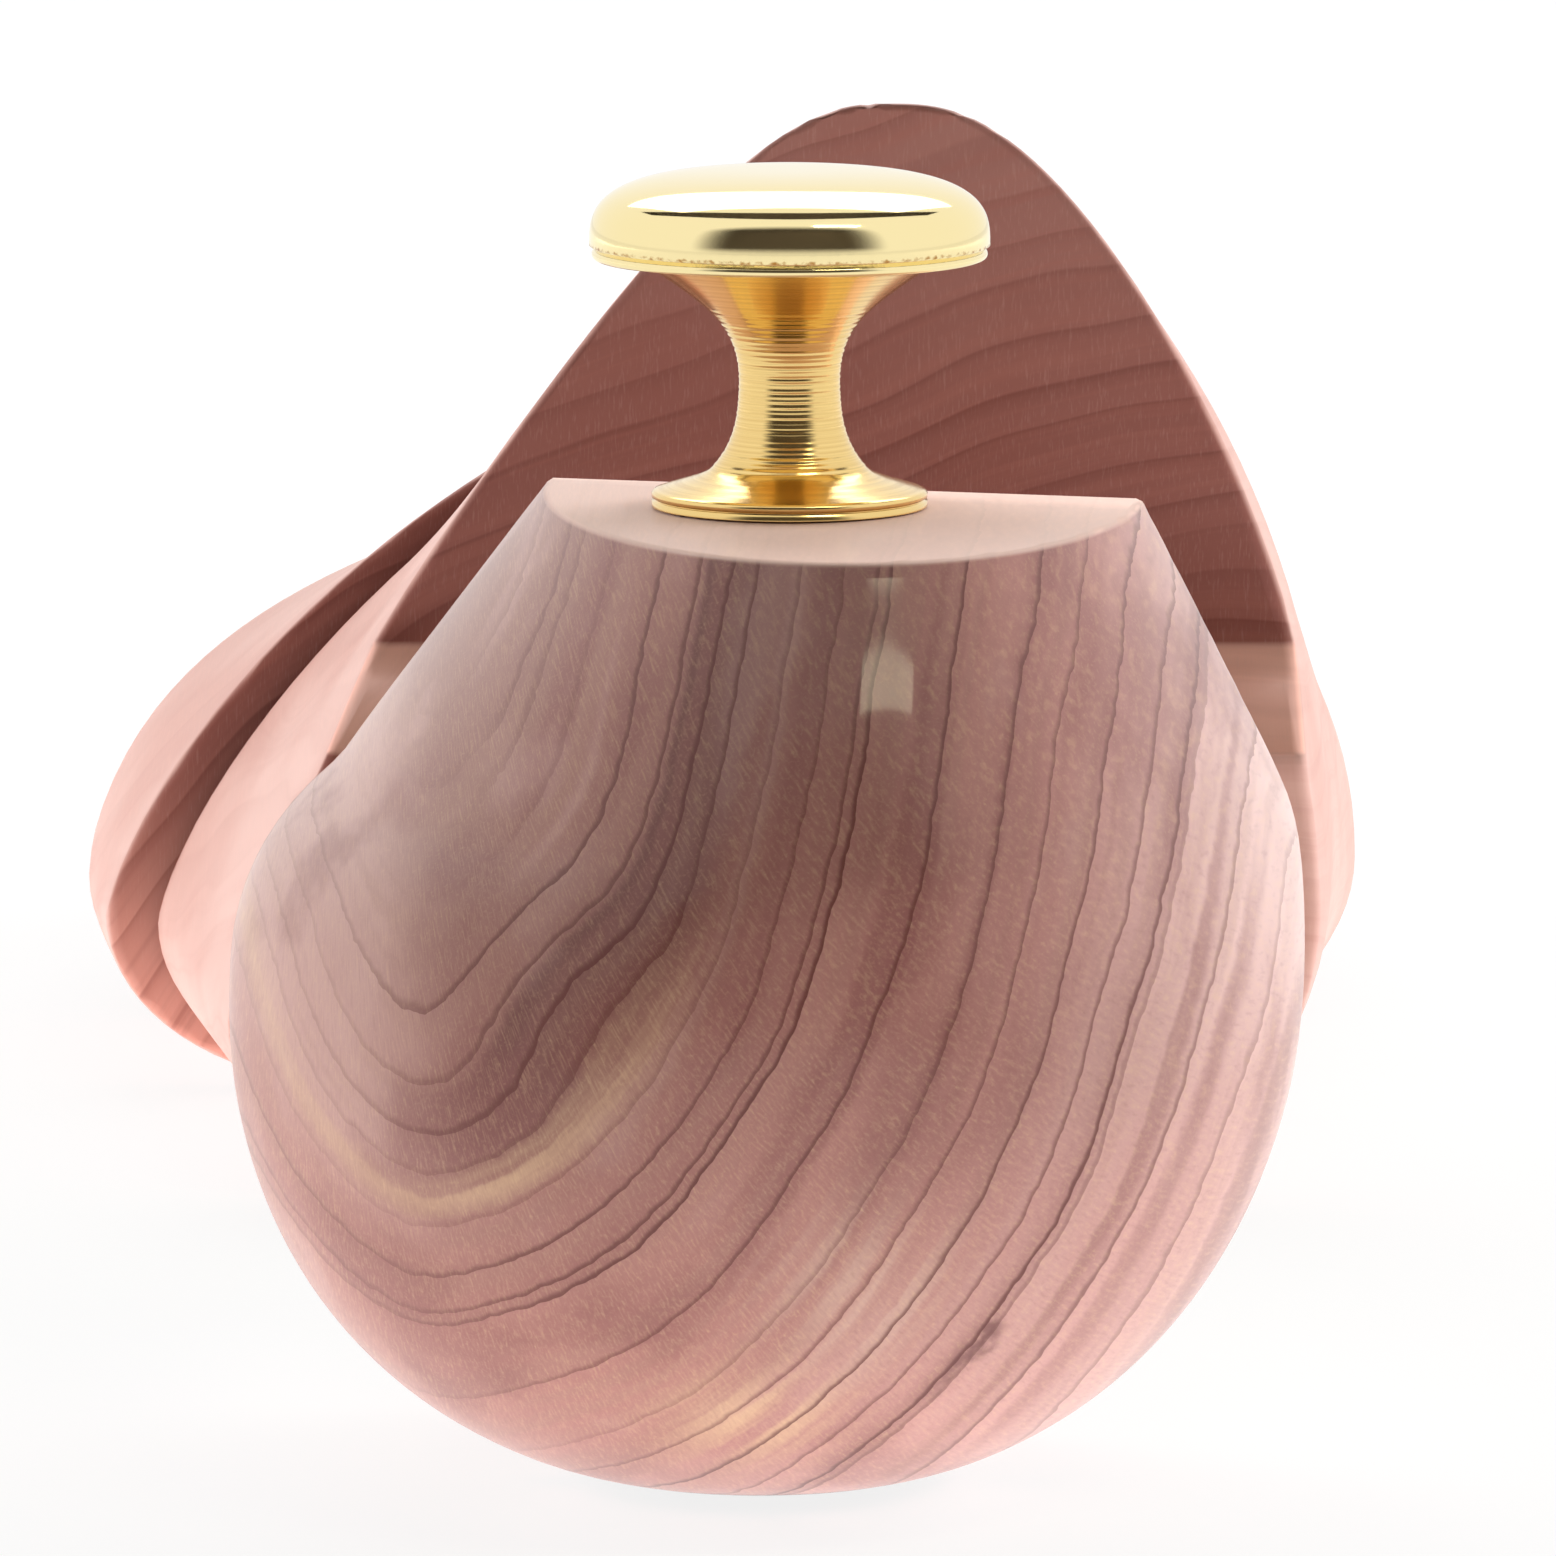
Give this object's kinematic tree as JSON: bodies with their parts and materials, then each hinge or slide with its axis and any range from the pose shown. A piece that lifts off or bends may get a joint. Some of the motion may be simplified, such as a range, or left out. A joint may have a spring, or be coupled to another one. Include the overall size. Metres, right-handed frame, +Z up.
{
  "type": "twin tube shoe tree",
  "caption": "Cedar shoe tree for a left shoe: heel block with a brass knob, sprung on telescoping tubes against a split forepart whose outer side slides out.",
  "frame": {"origin": "on the floor, on the flat strip under the heel block, 10 mm behind the knob's axis", "axes": "+Y towards the toe along the tubes, +X towards the inner side of the foot, +Z up"},
  "size_m": [0.0935, 0.288, 0.0785],
  "materials": {
    "cedar": "sanded cedar with a thin satin lacquer",
    "brass": "polished brass",
    "plated_tube": "brass-plated steel tube, bright",
    "steel": "plain drawn steel",
    "spring_steel": "drawn spring wire",
    "nylon": "moulded natural nylon"
  },
  "bodies": {
    "forepart": {"fore_block": "cedar", "fore_tube_left": "plated_tube", "fore_tube_right": "plated_tube", "tube_guide_left": "nylon", "tube_guide_right": "nylon", "fore_tube_pin_left": "steel", "fore_tube_pin_right": "steel", "main_spring_left": "spring_steel", "main_spring_right": "spring_steel", "side_bush_rear": "brass", "side_bush_front": "brass", "side_spring_rear": "spring_steel", "side_spring_front": "spring_steel"},
    "heel": {"heel_block": "cedar", "knob_stem": "brass", "knob_head": "brass", "knob_screw": "steel", "heel_tube_left": "plated_tube", "heel_tube_right": "plated_tube", "tube_stop_left": "nylon", "tube_stop_right": "nylon", "heel_tube_pin_left": "steel", "heel_tube_pin_right": "steel"},
    "side": {"side_block": "cedar", "side_pin_rear": "steel", "side_pin_front": "steel"}
  },
  "joints": [
    {"name": "heel_slide", "type": "slide", "parent": "forepart", "child": "heel", "axis": [0, 1, 0], "range_m": [0, 0.033], "stiffness_N_per_m": 900, "springref_m": -0.02, "deforming": ["main_spring_left", "main_spring_right"]},
    {"name": "side_slide", "type": "slide", "parent": "forepart", "child": "side", "axis": [1, 0, 0], "range_m": [0, 0.0034], "stiffness_N_per_m": 4000, "springref_m": -0.004, "deforming": ["side_spring_rear", "side_spring_front"]}
  ]
}
